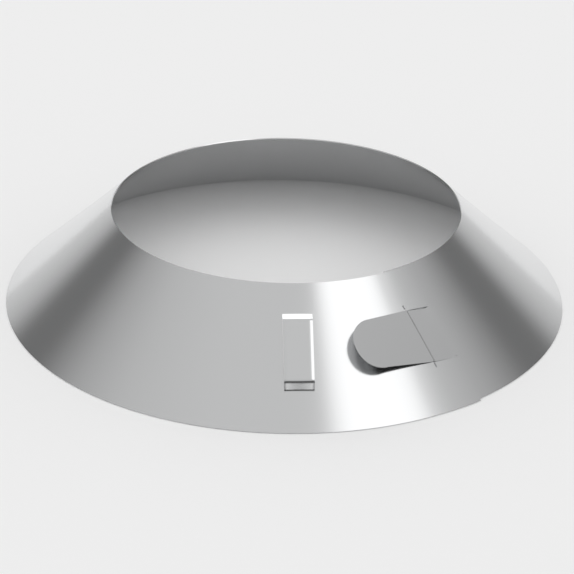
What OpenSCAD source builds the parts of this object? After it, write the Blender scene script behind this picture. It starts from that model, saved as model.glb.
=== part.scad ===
// Storm collar for a round flue pipe.
// One strip of galvanised sheet, cut along two arcs, is rolled into a cone.
// Its two ends lap at the front right: the outer end has a notch, and a flat
// tongue on the inner end comes up through it and lies over the outer end.
// A bridge lanced out of the front takes the tongue when the collar is fitted.
// The frame stands on the bottom edge: Z is the axis, -Y the front, +X the right.

/* [Band] */
// Inside diameter at the top edge, loose round its flue pipe
top_inner_d = 167; // [120:1:320]
// Slope of the band, in degrees from level
slope = 41.6; // [35:0.1:50]
// Width of the band, measured down its slope
band_w = 68.6; // [60:0.1:100]
// Thickness of the sheet
sheet = 0.55; // [0.4:0.05:1]

/* [Lap] */
// Where the outer end stops, in degrees from the front to the right
lap_angle = 39.9; // [34:0.1:60]
// How far the inner end reaches in behind the outer end
lap_w = 16; // [14:0.5:24]
// Air between the two layers of the lap
lap_gap = 0.1; // [0.05:0.01:0.3]
// How far the notch reaches in from the outer end
notch_depth = 12.5; // [9:0.1:13.5]
// How far the notch and the tongue sit above the middle of the band
tongue_offset = 1.6; // [-2:0.1:3]

/* [Tongue] */
// Width of the tongue
tongue_w = 25.6; // [14:0.1:32]
// Length of the tongue past the bottom of the notch, to the end of its round
tongue_len = 34.6; // [22:0.1:42]
// Width of the tongue at its round end
tip_w = 23; // [12:0.1:32]
// How far the round end sits up the slope from the tongue's middle
tip_up = 0.4; // [-1:0.1:1]
// How far the tongue runs up the slope as it goes left, in degrees
tongue_skew = 8.4; // [0:0.1:10]
// Gap beside the tongue in the notch
side_gap = 0.2; // [0.1:0.05:0.5]
// Gap between the tongue and the bottom of the notch that it climbs over
climb_gap = 0.05; // [0.03:0.01:0.15]
// Steepness of the step where the tongue climbs, in degrees
climb_angle = 52; // [35:1:60]
// Length of the relief slit past each side of the tongue
relief_len = 2.8; // [1:0.1:4]
// Width of the relief slit
relief_w = 0.6; // [0.4:0.05:1]

/* [Bridge] */
// Where the bridge stands, in degrees from the front to the right
bridge_angle = 3.3; // [-3:0.1:6]
// How far the bridge sits above the middle of the band
bridge_offset = 2.2; // [-2:0.1:4]
// Width of the bridge's strap
bridge_w = 13; // [8:0.1:14]
// Length of the bridge along the slope, from end to end
bridge_len = 36; // [32:0.1:42]
// Rise of the strap above the band
bridge_rise = 2.4; // [1.6:0.1:3.5]
// Steepness of the bridge's two ramps, in degrees
ramp_angle = 34; // [25:1:45]
// Inside radius of the two bends at the feet of the bridge
foot_r = 1; // [0.5:0.1:1.5]
// Inside radius of the two bends at the ends of the strap
crest_r = 2; // [0.5:0.1:2.5]
// Cut beside the strap where it was lanced free
lance_gap = 0.1; // [0.05:0.01:0.3]

/* [Hidden] */
$fn = 180;

// A cutting depth that passes right through the sheet, both ways
through = 12;
// Flats that make up each bend of the bridge
bend_steps = 8;

// Lengths that the two halves of the ring share are rounded to a thousandth,
// so that the halves meet face to face along the back
function fine(length) = round(length * 1000) / 1000;

// The outer surface of the band meets the bottom edge at bottom_r and rim_z
rim_z = fine(sheet * cos(slope));
bottom_r = fine(top_inner_d / 2 + sheet * sin(slope) + band_w * cos(slope));

// The inner half of the ring is a slightly smaller cone. It touches the outer
// half along the back, and by the lap it has moved in by a sheet and a gap.
lap_shift = fine((sheet + lap_gap) / (sin(slope) * (1 + cos(lap_angle))));

// Heights of the tongue and the bridge, up the slope from the bottom edge
tongue_up = band_w / 2 + tongue_offset;
bridge_up = band_w / 2 + bridge_offset;

// Radius of the band at the height of the tongue, and of its curve across the slope
tongue_r = bottom_r - tongue_up * cos(slope);
curve_r = tongue_r / sin(slope);

// The inner end stops lap_w behind the outer end. The bottom of the notch is
// parallel to the outer end.
inner_angle = lap_angle - arc_angle(lap_w);
notch_angle = lap_angle - arc_angle(notch_depth);
notch_turn = (lap_angle - notch_angle) * cos(slope);

// The tongue leaves the inner layer at root_x, just past the outer end, as a
// flat plate that is tangent to that layer
root_past = 1.2;
root_x = notch_depth + root_past;
tongue_tilt = atan(root_x / curve_r);
root_drop = lap_shift * sin(slope) * (1 + cos(lap_angle + arc_angle(root_past)));
neck_level = root_x * sin(tongue_tilt) / 2 - root_drop;
over_level = climb_gap + sheet;
climb_rise = over_level - neck_level;

// A length that reaches past the tongue's tip, and the middle of its round end
tongue_reach = tongue_len + tongue_w;
round_x = tongue_len - tip_w / 2;

// Centres of the foot's bend and the crest's bend at the lower end of the bridge
bend_radii = foot_r + sheet + crest_r;
ramp_len = (bridge_rise - bend_radii * (1 - cos(ramp_angle))) / sin(ramp_angle);
ramp_along = ramp_len * [cos(ramp_angle), sin(ramp_angle)];
foot = [0, foot_r];
crest = foot + bend_radii * [sin(ramp_angle), -cos(ramp_angle)] + ramp_along;

function arc_angle(length) = length / tongue_r * 180 / PI;

// Cross-section of the band, with its two edges sheared square to the sheet
module band_section(r) {
    along = [-fine(band_w * cos(slope)), fine(band_w * sin(slope))];
    inward = [-fine(sheet * sin(slope)), -rim_z];
    corner = [r, rim_z];
    polygon([corner, corner + along, corner + along + inward, corner + inward]);
}

// Part of a conical ring that starts at the back and turns by an angle,
// round the left side where that is positive
module band_arc(r, turn) {
    rotate([0, 0, 90])
    rotate_extrude(angle = turn)
    band_section(r);
}

// A frame on the band's outer surface: x across to the right, y up the slope,
// z square out of the sheet
module on_slope(angle, up) {
    rotate([0, 0, angle])
    translate([0, -bottom_r, rim_z])
    rotate([slope, 0, 0])
    translate([0, up, 0])
    children();
}

// The frame at the bottom of the notch, with y along the relief slit
module at_notch() {
    on_slope(notch_angle, tongue_up)
    rotate([0, 0, notch_turn])
    children();
}

// Straight strip as wide as the tongue, turned to the tongue's own direction
module tongue_lane(gap) {
    rotate(-tongue_skew)
    translate([-tongue_reach, -tongue_w / 2 - gap])
    square([2 * tongue_reach, tongue_w + 2 * gap]);
}

// Notch in the outer end, open to the right, with a relief slit at its bottom
module notch_cut() {
    slit_len = tongue_w + 2 * relief_len;
    translate([0, 0, -through / 2])
    linear_extrude(through)
    union() {
        intersection() {
            tongue_lane(side_gap);
            translate([0, -tongue_w])
            square([root_x + through, 2 * tongue_w]);
        }
        translate([0, -slit_len / 2])
        square([relief_w, slit_len]);
    }
}

// Everything to the left of the tongue's root
module left_of_root() {
    translate([-tongue_reach, -tongue_reach, -2 * through])
    cube([tongue_reach + root_x, 2 * tongue_reach, 4 * through]);
}

// Space cut in the inner layer round the tongue, as far as the tongue's root
module neck_cut() {
    intersection() {
        translate([0, 0, -through / 2])
        linear_extrude(through)
        tongue_lane(side_gap);
        left_of_root();
    }
}

// Where the upper (1) or lower (-1) side of the tongue touches its round end
function touch(side) =
    let (half = tongue_w / 2 - side * tip_up)
    let (turn = asin(tip_w / 2 / norm([round_x, half])) - atan(half / round_x))
    [-round_x, tip_up] + tip_w / 2 * [-sin(turn), side * cos(turn)];

// Outline of the tongue. Past the notch its sides run on to touch the round end.
module tongue_outline() {
    rotate(-tongue_skew)
    union() {
        translate([0, -tongue_w / 2])
        square([2 * root_x, tongue_w]);
        polygon([[0, -tongue_w / 2], [0, tongue_w / 2], touch(1), touch(-1)]);
        translate([-round_x, tip_up])
        circle(d = tip_w);
    }
}

// Side view of the tongue: a flat neck, a step of one thickness, a flat tab
module tongue_profile() {
    run = climb_rise / tan(climb_angle);
    mitre = sheet * tan(climb_angle / 2);
    foot_x = run + mitre;
    polygon([
        [2 * root_x, neck_level],
        [foot_x + mitre, neck_level],
        [mitre * 2, over_level],
        [-2 * tongue_len, over_level],
        [-2 * tongue_len, over_level - sheet],
        [mitre, over_level - sheet],
        [foot_x, neck_level - sheet],
        [2 * root_x, neck_level - sheet]
    ]);
}

// The tongue as one flat plate with a step, tilted so that it meets the inner
// layer at its root and stands off the curved band at its tip
module tongue() {
    at_notch()
    intersection() {
        rotate([0, tongue_tilt, 0])
        intersection() {
            translate([0, 0, -through])
            linear_extrude(2 * through)
            tongue_outline();
            translate([0, 2 * tongue_w, 0])
            rotate([90, 0, 0])
            linear_extrude(4 * tongue_w)
            tongue_profile();
        }
        left_of_root();
    }
}

// Points along a bend, turned about its centre
function bend_points(centre, r, from, to) = [
    for (step = [0:bend_steps])
    let (angle = from + (to - from) * step / bend_steps)
    centre + r * [cos(angle), sin(angle)]
];

// Side view of one end of the bridge, along its outer face or a depth below it.
// The foot bends away from the band, and the crest bends back along the strap.
function bridge_end(depth) = concat(
    bend_points(foot, foot_r + depth, -90, ramp_angle - 90),
    bend_points(crest, crest_r + sheet - depth, ramp_angle + 90, 90)
);

function backwards(points) = [for (i = [len(points) - 1:-1:0]) points[i]];
function far_end(points) = [for (point = points) [bridge_len - point[0], point[1]]];
function bridge_line(depth) = concat(bridge_end(depth), backwards(far_end(bridge_end(depth))));

// A frame on the bridge's side view: x up the slope from the lower foot, y out
// of the sheet, z across the width that is centred on the bridge
module at_bridge(width) {
    on_slope(bridge_angle, bridge_up)
    rotate([90, 0, 90])
    translate([-bridge_len / 2, 0, -width / 2])
    linear_extrude(width)
    children();
}

// The bridge: a strap with a ramp at each end, as wide as the strip it came from
module bridge() {
    at_bridge(bridge_w)
    polygon(concat(bridge_line(0), backwards(bridge_line(sheet))));
}

// The window that the strap of the bridge was lanced from
module bridge_window() {
    at_bridge(bridge_w + 2 * lance_gap)
    translate([0, -through / 2])
    square([bridge_len, through]);
}

// From the back round the left side to the outer end of the lap
module outer_half() {
    difference() {
        band_arc(bottom_r, 180 + lap_angle);
        at_notch() notch_cut();
        bridge_window();
    }
    bridge();
}

// From the back round the right side to the inner end of the lap
module inner_half() {
    difference() {
        translate([0, lap_shift, 0])
        band_arc(bottom_r - lap_shift, inner_angle - 180);
        at_notch() neck_cut();
    }
    tongue();
}

module storm_collar() {
    color([0.76, 0.77, 0.78])
    union() {
        outer_half();
        inner_half();
    }
}

storm_collar();
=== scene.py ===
# %% [markdown]
# # Chimney storm collar
# This file dresses a imported CAD model of a storm collar, the rain skirt that
# fits round a flue pipe above the roof flashing. It is one piece of galvanised
# sheet: a curved strip that is rolled into a cone, with its two ends lapped
# and held by a tongue, and with a small bridge pressed out of its front.
# The file is a lesson: each step first says what the real thing is, then makes it.
#
# The CAD model comes in as a fixed frame. Its box is kept.

# %% Load the frame
import math
import bpy
import numpy as np
from mathutils import Euler, Matrix, Vector
from mathutils.geometry import delaunay_2d_cdt
from mathutils.kdtree import KDTree


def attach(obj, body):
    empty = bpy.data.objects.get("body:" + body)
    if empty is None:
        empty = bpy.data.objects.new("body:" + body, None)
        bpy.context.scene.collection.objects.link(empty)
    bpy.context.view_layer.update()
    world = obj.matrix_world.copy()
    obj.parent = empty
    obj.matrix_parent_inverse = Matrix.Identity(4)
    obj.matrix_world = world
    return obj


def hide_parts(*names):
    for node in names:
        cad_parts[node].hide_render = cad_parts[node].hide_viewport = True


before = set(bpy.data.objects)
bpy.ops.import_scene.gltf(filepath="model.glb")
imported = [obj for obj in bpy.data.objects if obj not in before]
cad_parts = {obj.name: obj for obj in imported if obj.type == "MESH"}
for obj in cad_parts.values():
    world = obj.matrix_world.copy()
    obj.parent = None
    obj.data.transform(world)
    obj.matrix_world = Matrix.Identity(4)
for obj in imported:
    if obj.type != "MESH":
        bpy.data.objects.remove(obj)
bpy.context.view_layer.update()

# %% [markdown]
# ## Sizes
# Everything is in metres and degrees, and in the same frame as the CAD model:
# Z is the cone's axis, -Y the front and +X the right. A place on the cone is
# given by two numbers: its angle from the front, positive to the right, and
# its distance up the slope from the bottom edge.

# %% Sizes of the collar
SHEET = 0.00055
SLOPE = math.radians(41.6)
BAND_W = 0.0686
RIM_Z = 0.000411
BOTTOM_R = 0.135164
LAP_SHIFT = 0.000557
LAP_ANGLE = math.radians(39.9)
COS, SIN = math.cos(SLOPE), math.sin(SLOPE)

TONGUE_UP = BAND_W / 2 + 0.0016
TONGUE_R = BOTTOM_R - TONGUE_UP * COS
NOTCH_ANGLE = LAP_ANGLE - 0.0125 / TONGUE_R
INNER_END = LAP_ANGLE - 0.016 / TONGUE_R - math.tau
TONGUE_W, TONGUE_LEN, TIP_W, TIP_UP = 0.0256, 0.0346, 0.023, 0.0004
SKEW = math.radians(8.4)
ROOT_X = 0.0137
SIDE_GAP, RELIEF_LEN, RELIEF_W = 0.0002, 0.0028, 0.0006
BRIDGE_ANGLE, BRIDGE_UP = math.radians(3.3), BAND_W / 2 + 0.0022
BRIDGE_W, BRIDGE_LEN, BRIDGE_RISE, LANCE = 0.013, 0.036, 0.0024, 0.0001
print("lap at %.1f degrees, notch at %.1f" % (math.degrees(LAP_ANGLE), math.degrees(NOTCH_ANGLE)))

# %% [markdown]
# ## The flat blank
# The tinsmith cuts a curved strip from flat sheet. Unrolled, a cone is part of
# a ring round the cone's tip, so a place on the cone turns into a place on the
# ring: the distance from the tip stays, and every angle shrinks by the cosine
# of the slope. Working on the flat blank makes the notch, the slits and the
# tongue simple outlines, just as on the bench.

# %% From the cone to the flat blank and back
TIP_DISTANCE = BOTTOM_R / COS
MIDDLE = (LAP_ANGLE + INNER_END) / 2

def to_flat(angle, up):
    rho, psi = TIP_DISTANCE - up, (angle - MIDDLE) * COS
    return np.stack([rho * np.sin(psi), -rho * np.cos(psi)], -1)

def from_flat(flat):
    angle = np.arctan2(flat[..., 0], -flat[..., 1]) / COS + MIDDLE
    return angle, TIP_DISTANCE - np.hypot(flat[..., 0], flat[..., 1])

def turned(points, angle):
    c, s = math.cos(angle), math.sin(angle)
    return np.asarray(points) @ np.array([[c, s], [-s, c]])

def on_frame(points, angle, turn_to):
    """Points of a small drawing whose origin is at the tongue's height, turned to a generator of the cone"""
    return to_flat(angle, TONGUE_UP) + turned(points, (turn_to - MIDDLE) * COS)

print("the blank spans %.1f degrees of its ring" % math.degrees((LAP_ANGLE - INNER_END) * COS))

# %% [markdown]
# The outline runs once round the blank. One end has the open notch with its
# two relief slits. The other end has the tongue, with a narrow slot on each
# side of its neck. The tongue's sides lean in a little and touch its round end.

# %% Outline of the blank
def edge(points, step=0.0009):
    """The same line with points no more than a step apart"""
    points, out = np.asarray(points, float), []
    for a, b in zip(points[:-1], points[1:]):
        n = max(1, math.ceil(np.linalg.norm(b - a) / step))
        out += [a + (b - a) * k / n for k in range(n)]
    return np.array(out + [points[-1]])

def arc(angle_a, angle_b, up, step=0.0014):
    n = math.ceil(abs(angle_b - angle_a) * (BOTTOM_R - up * COS) / step)
    return to_flat(np.linspace(angle_a, angle_b, n + 1), np.full(n + 1, up))

def lane_y(x, side, half):
    """Height of the lane's side at x: the lane leans by the skew of the tongue"""
    return side * half / math.cos(SKEW) - math.tan(SKEW) * x

def notch_side(side):
    """From the outer end, along one side of the notch and into its relief slit"""
    half = TONGUE_W / 2 + SIDE_GAP
    top = TONGUE_W / 2 + RELIEF_LEN
    inside = [[0.02, lane_y(0.02, side, half)], [RELIEF_W, lane_y(RELIEF_W, side, half)],
              [RELIEF_W, side * top], [0, side * top], [0, 0]]
    flat = on_frame(edge(inside), NOTCH_ANGLE, LAP_ANGLE)
    return flat[from_flat(flat)[0] < LAP_ANGLE]

def outer_end():
    upper, lower = notch_side(1), notch_side(-1)
    up_at = lambda point: float(from_flat(point)[1])
    low = to_flat(LAP_ANGLE, 0.0), to_flat(LAP_ANGLE, up_at(lower[0]))
    high = to_flat(LAP_ANGLE, up_at(upper[0])), to_flat(LAP_ANGLE, BAND_W)
    return [edge(low), lower, upper[::-1][1:], edge(high)]

def tip_touch(side):
    """Where one side of the tongue touches its round end, and that angle"""
    round_x, half = TONGUE_LEN - TIP_W / 2, TONGUE_W / 2 - side * TIP_UP
    turn = math.asin(TIP_W / 2 / math.hypot(round_x, half)) - math.atan(half / round_x)
    return -round_x, turn

def tongue_edge():
    round_x, turn_up = tip_touch(1)
    turn_down = tip_touch(-1)[1]
    bend = np.linspace(math.pi / 2 + turn_up, 1.5 * math.pi - turn_down, 60)
    tip = np.stack([round_x + TIP_W / 2 * np.cos(bend), TIP_UP + TIP_W / 2 * np.sin(bend)], -1)
    half = TONGUE_W / 2
    return np.concatenate([[[ROOT_X, half], [0, half]], tip, [[0, -half], [ROOT_X, -half]]])

def inner_end():
    """From the top edge down the inner end, out round the tongue and on to the bottom edge"""
    half = TONGUE_W / 2 + SIDE_GAP
    tongue = turned(tongue_edge(), -SKEW)
    root = lambda side, h: [ROOT_X, lane_y(ROOT_X, side, h)]
    neck = on_frame(edge([[-0.02, lane_y(-0.02, 1, half)], root(1, half), root(1, TONGUE_W / 2)]), NOTCH_ANGLE - math.tau, LAP_ANGLE - math.tau)
    neck = neck[from_flat(neck)[0] > INNER_END]
    body = tongue[tongue[:, 0] < ROOT_X - 1e-6]
    body = np.concatenate([[root(1, TONGUE_W / 2)], body, [root(-1, TONGUE_W / 2)]])
    body = on_frame(edge(body), NOTCH_ANGLE - math.tau, LAP_ANGLE - math.tau)
    back = on_frame(edge([root(-1, TONGUE_W / 2), root(-1, half), [-0.02, lane_y(-0.02, -1, half)]]), NOTCH_ANGLE - math.tau, LAP_ANGLE - math.tau)
    back = back[from_flat(back)[0] > INNER_END]
    up_a, up_b = float(from_flat(neck[0])[1]), float(from_flat(back[-1])[1])
    high = edge([to_flat(INNER_END, BAND_W), to_flat(INNER_END, up_a)])
    low = edge([to_flat(INNER_END, up_b), to_flat(INNER_END, 0.0)])
    return [high, neck, body, back, low]

def joined(parts):
    """One closed line from runs that follow each other, without doubled points"""
    points = np.concatenate(parts)
    keep = np.linalg.norm(points - np.roll(points, 1, 0), axis=1) > 2e-5
    return points[keep]

outline = joined([arc(INNER_END, LAP_ANGLE, 0.0), *outer_end(), arc(LAP_ANGLE, INNER_END, BAND_W), *inner_end()])
print("outline of", len(outline), "points")

# %% [markdown]
# The bridge is lanced: two parallel cuts free a strap, and a press pushes the
# strap out between them. On the blank that is two thin slots.

# %% Cuts beside the bridge
def on_bridge(points):
    return to_flat(BRIDGE_ANGLE, BRIDGE_UP) + turned(points, (BRIDGE_ANGLE - MIDDLE) * COS)

def slot(side):
    a, b, h = side * BRIDGE_W / 2, side * (BRIDGE_W / 2 + LANCE), BRIDGE_LEN / 2
    return joined([on_bridge(edge([[a, -h], [b, -h], [b, h], [a, h], [a, -h]], 0.0006))])

slots = [slot(-1), slot(1)]
print("two cuts of", len(slots[0]), "points")

# %% [markdown]
# ## From outline to mesh
# The blank needs many small faces, because a shiny sheet shows every uneven
# patch. A grid of points fills the outline, and a Delaunay triangulation joins
# them, keeping every edge of the outline. Extra lines across the tongue and the
# bridge put points where the sheet will be bent.

# %% Points inside the blank
GRID = 0.0016

def grid_points():
    rows = int(BAND_W / GRID)
    cols = int((LAP_ANGLE - INNER_END) * TONGUE_R / GRID)
    angle, up = np.meshgrid(np.linspace(INNER_END, LAP_ANGLE, cols + 1), np.linspace(0, BAND_W, rows + 1))
    return to_flat(angle.ravel(), up.ravel())

def tongue_lines():
    x = np.concatenate([np.arange(-0.034, -0.0005, 0.0016), np.arange(-0.0002, 0.0019, 0.00015), np.arange(0.003, ROOT_X, 0.0016)])
    y = np.arange(-0.0126, 0.0127, 0.0012)
    gx, gy = np.meshgrid(x, y)
    flat = np.stack([gx.ravel(), gy.ravel() - math.tan(SKEW) * gx.ravel()], -1)
    return on_frame(flat, NOTCH_ANGLE - math.tau, LAP_ANGLE - math.tau)

def bridge_lines():
    ends = np.arange(-0.0182, -0.0109, 0.00035)
    y = np.concatenate([ends, np.arange(-0.0102, 0.0103, 0.0012), -ends])
    x = np.concatenate([np.arange(-0.0063, -0.0049, 0.00035), np.arange(-0.0042, 0.0043, 0.0012), np.arange(0.0052, 0.0064, 0.00035)])
    gx, gy = np.meshgrid(x, y)
    return on_bridge(np.stack([gx.ravel(), gy.ravel()], -1))

def inside(points, loops):
    """Even-odd test of each point against closed loops"""
    hit = np.zeros(len(points), bool)
    for loop in loops:
        a, b = loop, np.roll(loop, -1, 0)
        for k in range(0, len(points), 4000):
            p = points[k:k + 4000, None, :]
            cross = (a[:, 1] > p[..., 1]) != (b[:, 1] > p[..., 1])
            with np.errstate(divide="ignore", invalid="ignore"):
                at = a[:, 0] + (p[..., 1] - a[:, 1]) * (b[:, 0] - a[:, 0]) / (b[:, 1] - a[:, 1])
            hit[k:k + 4000] ^= (np.sum(cross & (p[..., 0] < at), axis=1) % 2).astype(bool)
    return hit

def keep_clear(points, tree, gap):
    return points[[tree.find((*p, 0))[2] > gap for p in points]]

def tree_of(points):
    tree = KDTree(len(points))
    for i, p in enumerate(points):
        tree.insert((*p, 0), i)
    tree.balance()
    return tree

loops = [outline, *slots]
lines = np.concatenate(loops)
details = np.concatenate([tongue_lines(), bridge_lines()])
details = keep_clear(details[inside(details, [outline])], tree_of(lines), 0.00022)
grid = grid_points()
grid = keep_clear(grid[inside(grid, [outline])], tree_of(np.concatenate([lines, details])), 0.0008)
print(len(lines), "points on edges,", len(details), "where it bends,", len(grid), "elsewhere")

# %% Triangulate the blank
def triangulate(loops, extra):
    points, edges, start = [], [], 0
    for loop in loops:
        n = len(loop)
        edges += [(start + i, start + (i + 1) % n) for i in range(n)]
        points += [Vector(p) for p in loop]
        start += n
    points += [Vector(p) for p in extra]
    verts, _, faces, *_ = delaunay_2d_cdt(points, edges, [], 0, 1e-7)
    verts, faces = np.array([v[:] for v in verts]), np.array([f[:] for f in faces])
    return verts, faces[inside(verts[faces].mean(axis=1), loops)]

flat, faces = triangulate(loops, np.concatenate([details, grid]))
area = np.cross(flat[faces[:, 1]] - flat[faces[:, 0]], flat[faces[:, 2]] - flat[faces[:, 0]])
faces[area < 0] = faces[area < 0][:, ::-1]
print(len(flat), "points and", len(faces), "triangles")

# %% [markdown]
# ## Pressing
# Two places are pushed out of the flat before rolling. The tongue has a step
# of one thickness, where it climbs out of the notch. The bridge has a ramp at
# each end and a level strap, and its lanced edges are pulled down a little.
# The height is simply each point's Z on the blank.

# %% Heights pressed into the blank
def smooth(x, low, high):
    s = np.clip((x - low) / (high - low), 0, 1)
    return s * s * (3 - 2 * s)

TILT = math.atan(ROOT_X / (TONGUE_R / SIN))
ROOT_DROP = LAP_SHIFT * SIN * (1 + math.cos(LAP_ANGLE + 0.0012 / TONGUE_R))
NECK = ROOT_X * math.sin(TILT) / 2 - ROOT_DROP
CLIMB = SHEET + 0.00005 - NECK

centre = to_flat(NOTCH_ANGLE - math.tau, TONGUE_UP)
TURN = (LAP_ANGLE - math.tau - MIDDLE) * COS
local = turned(flat - centre, -TURN)
lane = local[:, 1] * math.cos(SKEW) + local[:, 0] * math.sin(SKEW)
on_tongue = (np.abs(lane) < TONGUE_W / 2 + SIDE_GAP / 2) & (local[:, 0] < ROOT_X) & (local[:, 0] > -0.05)
step_height = CLIMB * (1 - smooth(local[:, 0], 0.0004, 0.0013))

place = turned(flat - to_flat(BRIDGE_ANGLE, BRIDGE_UP), -(BRIDGE_ANGLE - MIDDLE) * COS)
across, along = place[:, 0], np.abs(place[:, 1])
on_strap = (np.abs(across) < BRIDGE_W / 2 + LANCE / 2) & (along < BRIDGE_LEN / 2)
ramp = math.radians(34)
from_foot = BRIDGE_LEN / 2 - along

def strap_height(s):
    """Side view of the bridge from its foot: bend, ramp, bend, level strap"""
    foot_r, crest_r = 0.001, 0.00255
    a, rise = foot_r * math.sin(ramp), foot_r * (1 - math.cos(ramp))
    crest_fall = crest_r * (1 - math.cos(ramp))
    ramp_run = (BRIDGE_RISE - rise - crest_fall) / math.tan(ramp)
    b = a + ramp_run
    c = b + crest_r * math.sin(ramp)
    foot = foot_r - np.sqrt(np.maximum(foot_r ** 2 - np.clip(s, 0, a) ** 2, 0))
    line = rise + (s - a) * math.tan(ramp)
    crest = BRIDGE_RISE - crest_r + np.sqrt(np.maximum(crest_r ** 2 - np.clip(c - s, 0, c - b) ** 2, 0))
    return np.where(s < a, foot, np.where(s < b, line, np.where(s < c, crest, BRIDGE_RISE)))

pulled = 0.00022 * smooth(np.abs(across), BRIDGE_W / 2 - 0.0013, BRIDGE_W / 2)
strap = strap_height(from_foot)
share = strap / BRIDGE_RISE
flatten = across ** 2 / (2 * TONGUE_R / SIN) * share
height = np.where(on_tongue, step_height, 0) + np.where(on_strap, strap + flatten - pulled * share, 0)
print("tongue climbs %.2f mm, bridge rises %.2f mm" % (CLIMB * 1000, height.max() * 1000))

# %% [markdown]
# ## Bowing
# Thin sheet is never a perfect cone. Between its edges it bows in by a fraction
# of a millimetre, and the free ends by the notch spring out a little. The bow
# is horizontal only, so the rims stay at their heights. A float attribute
# carries it to the rolling step.

# %% Bow of the sheet
angle, up = from_flat(flat)
phi = np.degrees((angle + math.pi) % math.tau - math.pi)
middle = 4 * (up / BAND_W) * (1 - up / BAND_W)

def bump(at, width):
    return np.exp(-((phi - at) / width) ** 2)

def bow_of(middle, phi):
    return -0.0004 * middle

to_end = (LAP_ANGLE - angle) * TONGUE_R
spring = 0.0004 * smooth(-to_end, -0.02, 0.0)
bow = bow_of(middle, phi) + spring
root_bow = float(bow_of(4 * 0.52 * 0.48, math.degrees(LAP_ANGLE)))
print("bow from %.2f to %.2f mm" % (bow.min() * 1000, bow.max() * 1000))

# %% The blank as an object
def make_blank():
    mesh = bpy.data.meshes.new("storm_collar_sheet")
    mesh.from_pydata(np.column_stack([flat, height]).tolist(), [], faces.tolist())
    for name, values in (("bow", bow), ("tab", np.where(on_tongue, 1 - smooth(local[:, 0], ROOT_X - 0.005, ROOT_X), 0))):
        mesh.attributes.new(name, "FLOAT", "POINT").data.foreach_set("value", values.astype(np.float32))
    mesh.validate()
    obj = bpy.data.objects.new("storm_collar_sheet", mesh)
    bpy.context.scene.collection.objects.link(obj)
    return obj

collar = make_blank()
print("blank", [round(v, 3) for v in collar.dimensions])

# %% [markdown]
# ## Metal
# Galvanised sheet is steel in a skin of zinc: a neutral grey mirror that is
# slightly blurred. (The finish is made here, before rolling, because the
# Geometry Nodes tree sets it.)

# %% Galvanised sheet
def new_group(name, inputs, outputs):
    group = bpy.data.node_groups.new(name, "ShaderNodeTree")
    for kind, items in (("INPUT", inputs), ("OUTPUT", outputs)):
        for label, socket, value in items:
            s = group.interface.new_socket(label, in_out=kind, socket_type=socket)
            if value is not None:
                s.default_value = value
    return group, group.nodes.new("NodeGroupInput"), group.nodes.new("NodeGroupOutput")

def galvanised():
    mat = bpy.data.materials.new("galvanised_sheet")
    mat.use_nodes = True
    nodes, links = mat.node_tree.nodes, mat.node_tree.links
    bsdf = nodes["Principled BSDF"]
    bsdf.inputs["Metallic"].default_value = 1
    bsdf.inputs["Base Color"].default_value = (0.80, 0.805, 0.81, 1)
    bsdf.inputs["Roughness"].default_value = 0.16
    return mat

metal = galvanised()
print("material", metal.name)

# %% [markdown]
# ## Rolling
# The collar's main shape follows a rule, so a Geometry Nodes tree makes it:
# each point's distance from the ring's centre gives its place up the slope, and
# its angle, stretched by the cosine of the slope, gives its place round the
# cone. The last half turn sits a little further in, so that the ends lap. The
# tongue isn't rolled: past its root it stays a flat plate, which a turn and a
# move put in place. The named inputs are set on the modifier, which is then applied and removed.

# %% Rolling tree
class Maker:
    """Adds nodes to a tree, each from its inputs, and returns its output"""
    def __init__(self, tree):
        self.tree = tree

    def add(self, kind, *inputs, out=0, **settings):
        node = self.tree.nodes.new(kind)
        for key, value in settings.items():
            setattr(node, key, value)
        for socket, value in zip(node.inputs, inputs):
            if isinstance(value, bpy.types.NodeSocket):
                self.tree.links.new(value, socket)
            elif value is not None:
                socket.default_value = value
        return node.outputs[out]

    def math(self, operation, *inputs):
        return self.add("ShaderNodeMath", *inputs, operation=operation)

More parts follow.
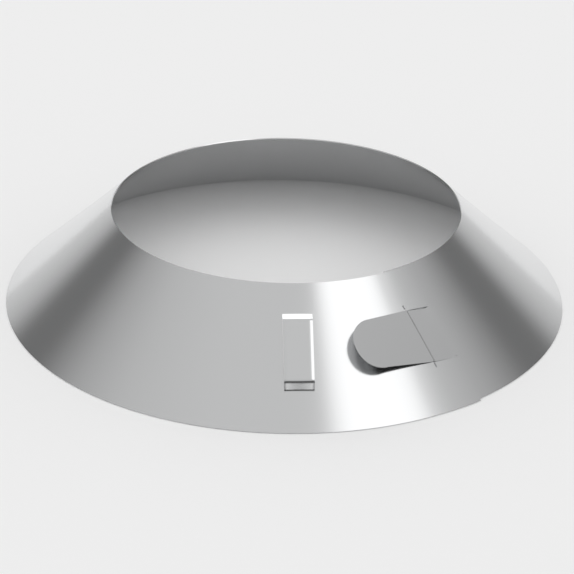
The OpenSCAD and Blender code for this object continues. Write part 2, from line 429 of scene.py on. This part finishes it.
def rolling_tree():
    tree = bpy.data.node_groups.new("Roll blank into collar", "GeometryNodeTree")
    face = tree.interface
    face.new_socket("Blank", in_out="INPUT", socket_type="NodeSocketGeometry")
    for label in ("Bottom radius", "Slope", "Bottom height", "Lap shift", "Middle angle", "Bow"):
        face.new_socket(label, in_out="INPUT", socket_type="NodeSocketFloat")
    face.new_socket("Tab turn", in_out="INPUT", socket_type="NodeSocketVector")
    face.new_socket("Tab place", in_out="INPUT", socket_type="NodeSocketVector")
    face.new_socket("Metal", in_out="INPUT", socket_type="NodeSocketMaterial")
    face.new_socket("Collar", in_out="OUTPUT", socket_type="NodeSocketGeometry")
    m = Maker(tree)
    given = tree.nodes.new("NodeGroupInput").outputs
    position = m.add("GeometryNodeInputPosition")
    split = tree.nodes.new("ShaderNodeSeparateXYZ")
    tree.links.new(position, split.inputs[0])
    x, y, level = split.outputs
    cos, sin = m.math("COSINE", given["Slope"]), m.math("SINE", given["Slope"])
    from_tip = m.math("POWER", m.math("ADD", m.math("MULTIPLY", x, x), m.math("MULTIPLY", y, y)), 0.5)
    up = m.math("SUBTRACT", m.math("DIVIDE", given["Bottom radius"], cos), from_tip)
    turn = m.math("DIVIDE", m.math("ARCTAN2", x, m.math("MULTIPLY", y, -1.0)), cos)
    angle = m.math("ADD", turn, given["Middle angle"])
    inner = m.math("LESS_THAN", angle, -math.pi)
    shift = m.math("MULTIPLY", inner, given["Lap shift"])
    bow = m.add("GeometryNodeInputNamedAttribute", "bow", data_type="FLOAT")
    r = m.math("SUBTRACT", m.math("SUBTRACT", given["Bottom radius"], shift), m.math("MULTIPLY", up, cos))
    r = m.math("MULTIPLY_ADD", level, sin, r)
    r = m.math("MULTIPLY_ADD", bow, given["Bow"], r)
    z = m.math("MULTIPLY_ADD", level, cos, m.math("MULTIPLY_ADD", up, sin, given["Bottom height"]))
    rx = m.math("MULTIPLY", r, m.math("SINE", angle))
    ry = m.math("SUBTRACT", shift, m.math("MULTIPLY", r, m.math("COSINE", angle)))
    rolled = m.add("ShaderNodeCombineXYZ", rx, ry, z)
    plate = m.add("ShaderNodeVectorRotate", position, rotation_type="EULER_XYZ")
    tree.links.new(given["Tab turn"], plate.node.inputs["Rotation"])
    plate = m.add("ShaderNodeVectorMath", plate, given["Tab place"], operation="ADD")
    tab = m.add("GeometryNodeInputNamedAttribute", "tab", data_type="FLOAT")
    mix = m.add("ShaderNodeMix", data_type="VECTOR", out=1)
    tree.links.new(tab, mix.node.inputs[0])
    tree.links.new(rolled, mix.node.inputs[4])
    tree.links.new(plate, mix.node.inputs[5])
    moved = m.add("GeometryNodeSetPosition", given["Blank"], None, mix)
    real = m.add("GeometryNodeRealizeInstances", moved)
    done = m.add("GeometryNodeSetMaterial", real, None, given["Metal"])
    tree.links.new(done, tree.nodes.new("NodeGroupOutput").inputs[0])
    return tree

tree = rolling_tree()
print("tree of", len(tree.nodes), "nodes")

# %% [markdown]
# The flat tab needs one turn and one move from the blank to its place: from the
# blank to the tongue's own drawing, then tilted so that it is level with the
# inner layer at its root, then out to the notch on the cone.

# %% Place of the tab
def slope_frame(angle, up):
    return Matrix.Rotation(angle, 4, "Z") @ Matrix.Translation((0, -BOTTOM_R, RIM_Z)) @ Matrix.Rotation(SLOPE, 4, "X") @ Matrix.Translation((0, up, 0))

def tab_place():
    notch = slope_frame(NOTCH_ANGLE, TONGUE_UP) @ Matrix.Rotation((LAP_ANGLE - NOTCH_ANGLE) * COS, 4, "Z")
    tilt = Matrix.Rotation(TILT, 4, "Y") @ Matrix.Translation((0, 0, NECK))
    flat_to_notch = Matrix.Rotation(-TURN, 4, "Z") @ Matrix.Translation((-centre[0], -centre[1], 0))
    whole = notch @ tilt @ flat_to_notch
    out = Vector((math.sin(LAP_ANGLE), -math.cos(LAP_ANGLE), 0)) * root_bow
    return whole.to_euler("XYZ"), whole.to_translation() + out

tab_turn, tab_move = tab_place()
print("tab turned", [round(math.degrees(a), 1) for a in tab_turn])

# %% Roll the blank
def set_input(modifier, label, value):
    for item in modifier.node_group.interface.items_tree:
        if item.name == label and item.in_out == "INPUT":
            modifier[item.identifier] = value

def roll(obj):
    mod = obj.modifiers.new("roll", "NODES")
    mod.node_group = tree
    for label, value in {"Bottom radius": BOTTOM_R, "Slope": SLOPE, "Bottom height": RIM_Z, "Lap shift": LAP_SHIFT, "Middle angle": MIDDLE, "Bow": 1.0,
                         "Tab turn": tab_turn[:], "Tab place": tab_move[:], "Metal": metal}.items():
        set_input(mod, label, value)
    thick = obj.modifiers.new("thickness", "SOLIDIFY")
    thick.thickness, thick.offset, thick.use_even_offset = SHEET, -1, True
    bpy.context.view_layer.update()
    mesh = bpy.data.meshes.new_from_object(obj.evaluated_get(bpy.context.evaluated_depsgraph_get()))
    obj.modifiers.clear()
    obj.data = mesh
    mesh.shade_smooth()
    mesh.set_sharp_from_angle(angle=math.radians(35))
    return obj

roll(collar)
print("collar of", len(collar.data.polygons), "faces, box", [round(v, 4) for v in collar.dimensions])

# %% [markdown]
# ## Joining the frame
# The finished sheet stands for the CAD node, and rides on the one body.

# %% Hand the piece over
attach(collar, "root")
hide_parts("storm_collar")
print("riding on root")

# %% [markdown]
# ## Stage
# A pale floor takes the shadow. The world is a plain studio: what the metal
# mirrors matters more than the lamps.

# %% Floor
def make_floor():
    bpy.ops.mesh.primitive_plane_add(size=8)
    floor = bpy.context.object
    floor.name = "floor"
    mat = bpy.data.materials.new("floor")
    mat.use_nodes = True
    bsdf = mat.node_tree.nodes["Principled BSDF"]
    bsdf.inputs["Base Color"].default_value = (0.9, 0.9, 0.9, 1)
    bsdf.inputs["Roughness"].default_value = 1
    bsdf.inputs["Specular IOR Level"].default_value = 0
    floor.data.materials.append(mat)
    return floor

floor = make_floor()
print("floor", floor.dimensions[:2])

# %% World
def direction(az, el):
    a, e = math.radians(az), math.radians(el)
    return (math.sin(a) * math.cos(e), -math.cos(a) * math.cos(e), math.sin(e))

def studio():
    world = bpy.data.worlds.new("studio")
    bpy.context.scene.world = world
    world.use_nodes = True
    tree = world.node_tree
    tree.nodes.clear()
    m = Maker(tree)
    where = m.add("ShaderNodeTexCoord", out=0)
    split = tree.nodes.new("ShaderNodeSeparateXYZ")
    tree.links.new(where, split.inputs[0])
    x, y, z = split.outputs
    ramp = m.add("ShaderNodeValToRGB", z)
    stops = [(0.0, .66), (0.10, .60), (0.20, .48), (0.31, .16), (0.46, .16), (0.62, .42), (0.75, .55), (0.90, .62), (1.0, .62)]
    bar = ramp.node.color_ramp
    bar.elements[0].position, bar.elements[1].position = stops[0][0], stops[-1][0]
    bar.elements[0].color = (stops[0][1],) * 3 + (1,)
    bar.elements[-1].color = (stops[-1][1],) * 3 + (1,)
    for at, tone in stops[1:-1]:
        bar.elements.new(at).color = (tone,) * 3 + (1,)
    tone = ramp
    def panel(az, el, inner, outer, strength):
        dot = m.add("ShaderNodeVectorMath", where, direction(az, el), operation="DOT_PRODUCT", out=1)
        spot = m.add("ShaderNodeMapRange", dot, math.cos(math.radians(outer)), math.cos(math.radians(inner)), 0.0, strength, interpolation_type="SMOOTHSTEP")
        return spot
    for spec in ((60, 60, 9, 17, 0.7), (180, 42, 10, 25, 1.0)):
        tone = m.math("ADD", tone, panel(*spec))
    front = m.add("ShaderNodeMapRange", y, -0.75, -0.25, 0.2, 1.0, interpolation_type="SMOOTHSTEP")
    low = m.add("ShaderNodeMapRange", z, 0.25, 0.6, 0.0, 1.0, interpolation_type="SMOOTHSTEP")
    dim = m.math("MAXIMUM", front, low)
    tone = m.math("MULTIPLY", tone, dim)
    path = tree.nodes.new("ShaderNodeLightPath").outputs
    glossy = m.add("ShaderNodeMix", data_type="FLOAT")
    tree.links.new(path["Is Glossy Ray"], glossy.node.inputs[0])
    glossy.node.inputs[2].default_value = 0.95
    tree.links.new(tone, glossy.node.inputs[3])
    shown = m.add("ShaderNodeMix", data_type="FLOAT")
    tree.links.new(path["Is Camera Ray"], shown.node.inputs[0])
    tree.links.new(glossy, shown.node.inputs[2])
    shown.node.inputs[3].default_value = 1.0
    back = m.add("ShaderNodeBackground", shown)
    tree.links.new(back, tree.nodes.new("ShaderNodeOutputWorld").inputs[0])
    return world

studio()
print("studio ready")

# %% [markdown]
# ## Camera
# The camera stands where the photograph's did: the two rims of the collar fix
# its distance, height and lens, and a turn of about one degree.

# %% Camera
def make_camera():
    data = bpy.data.cameras.new("camera")
    cam = bpy.data.objects.new("camera", data)
    bpy.context.scene.collection.objects.link(cam)
    data.sensor_width, data.lens, data.shift_x = 36, 116.46, 0.003
    cam.location = (0, -0.8105, 0.4108)
    cam.rotation_euler = (math.radians(90 - 26.783), 0, 0)
    cam.rotation_euler.rotate_axis("Z", math.radians(1.141))
    bpy.context.scene.camera = cam
    return cam

camera = make_camera()
bpy.context.scene.view_settings.view_transform = "Standard"
print("camera at", camera.location[:])
